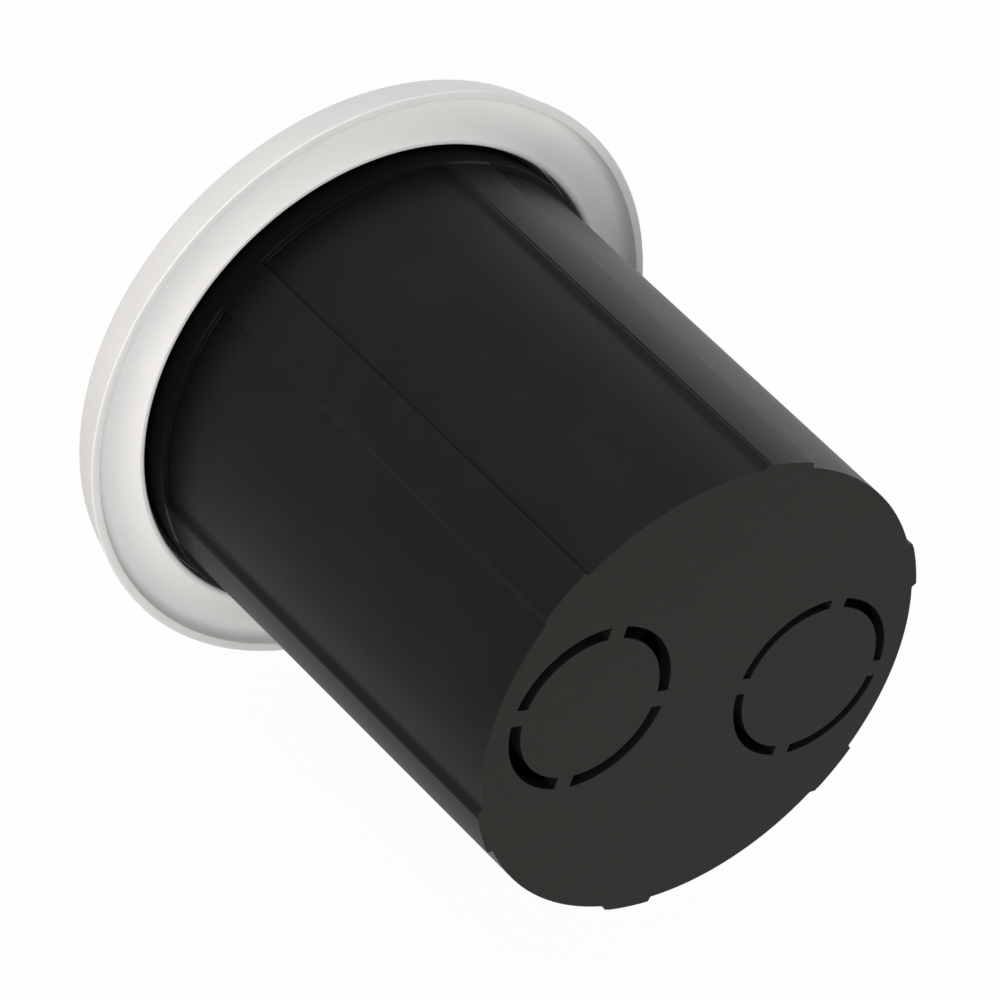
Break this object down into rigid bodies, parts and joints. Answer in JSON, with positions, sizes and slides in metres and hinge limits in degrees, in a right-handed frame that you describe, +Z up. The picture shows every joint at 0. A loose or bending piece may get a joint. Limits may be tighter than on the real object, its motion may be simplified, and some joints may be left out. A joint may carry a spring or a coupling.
{
  "type": "recessed step light",
  "caption": "Round recessed step light: a hooded bezel with a lamp and driver insert, held by sprung clips in a moulded mounting can with conduit knock-outs.",
  "frame": {"origin": "centre of the hole in the wall, on the face of the wall, where the bezel's rear land rests", "axes": "+Y along the can's axis into the wall, +Z up, light shines towards -Y"},
  "size_m": [0.095, 0.102, 0.095],
  "materials": {
    "can_plastic": "moulded black, slight sheen",
    "white_powder_coat": "fine orange-peel powder coat",
    "screw_steel": "stainless",
    "frosted_glass": "acid-etched",
    "black_rubber": "matte silicone",
    "reflector_metal": "bright spun",
    "led_board_white": "white solder mask",
    "emitter_yellow": "phosphor gel",
    "thermal_grey": "soft pad",
    "lead_insulation": "wire insulation",
    "housing_aluminium": "cast and black anodised",
    "board_green": "glass-fibre board with solder mask",
    "ferrite": "ferrite core and tape",
    "capacitor_sleeve": "shrink sleeve",
    "choke_copper": "enamelled winding",
    "terminal_plastic": "moulded",
    "terminal_brass": "plain",
    "gland_nylon": "moulded nylon",
    "clip_steel": "spring temper"
  },
  "bodies": {
    "can": {"mounting_can": "can_plastic"},
    "insert": {"bezel": "white_powder_coat", "eyelid_hood": "white_powder_coat", "hood_screws": "screw_steel", "lens": "frosted_glass", "lens_gasket_front": "black_rubber", "lens_gasket_rear": "black_rubber", "reflector": "reflector_metal", "led_board": "led_board_white", "led_emitters": "emitter_yellow", "led_board_screws": "screw_steel", "thermal_pad": "thermal_grey", "led_leads": "lead_insulation", "lamp_housing": "housing_aluminium", "housing_screws": "screw_steel", "housing_seal_ring": "black_rubber", "spigot_seal_ring": "black_rubber", "mouth_gasket": "black_rubber", "driver_board": "board_green", "driver_board_screws": "screw_steel", "driver_transformer": "ferrite", "driver_capacitors": "capacitor_sleeve", "driver_choke": "choke_copper", "terminal_block": "terminal_plastic", "terminal_screws": "terminal_brass", "rear_cover": "housing_aluminium", "rear_cover_gasket": "black_rubber", "rear_cover_screws": "screw_steel", "gland_body": "gland_nylon", "gland_locknut": "gland_nylon", "gland_seal": "black_rubber", "gland_nut": "gland_nylon", "clip_pins": "screw_steel"},
    "right_clip": {"clip_right": "clip_steel", "clip_spring_right": "clip_steel"},
    "left_clip": {"clip_left": "clip_steel", "clip_spring_left": "clip_steel"}
  },
  "joints": [
    {"name": "insert_slide", "type": "slide", "parent": "can", "child": "insert", "axis": [0, -1, 0], "range_m": [0, 0.065]},
    {"name": "right_clip_hinge", "type": "hinge", "parent": "insert", "child": "right_clip", "pos_m": [0.0284, 0.014, 0], "axis": [0, 0, 1], "range_deg": [0, 10], "stiffness_Nm_per_rad": 0.06, "springref_deg": -57.3},
    {"name": "left_clip_hinge", "type": "hinge", "parent": "insert", "child": "left_clip", "pos_m": [-0.0284, 0.014, 0], "axis": [0, 0, -1], "range_deg": [0, 10], "stiffness_Nm_per_rad": 0.06, "springref_deg": -57.3}
  ]
}
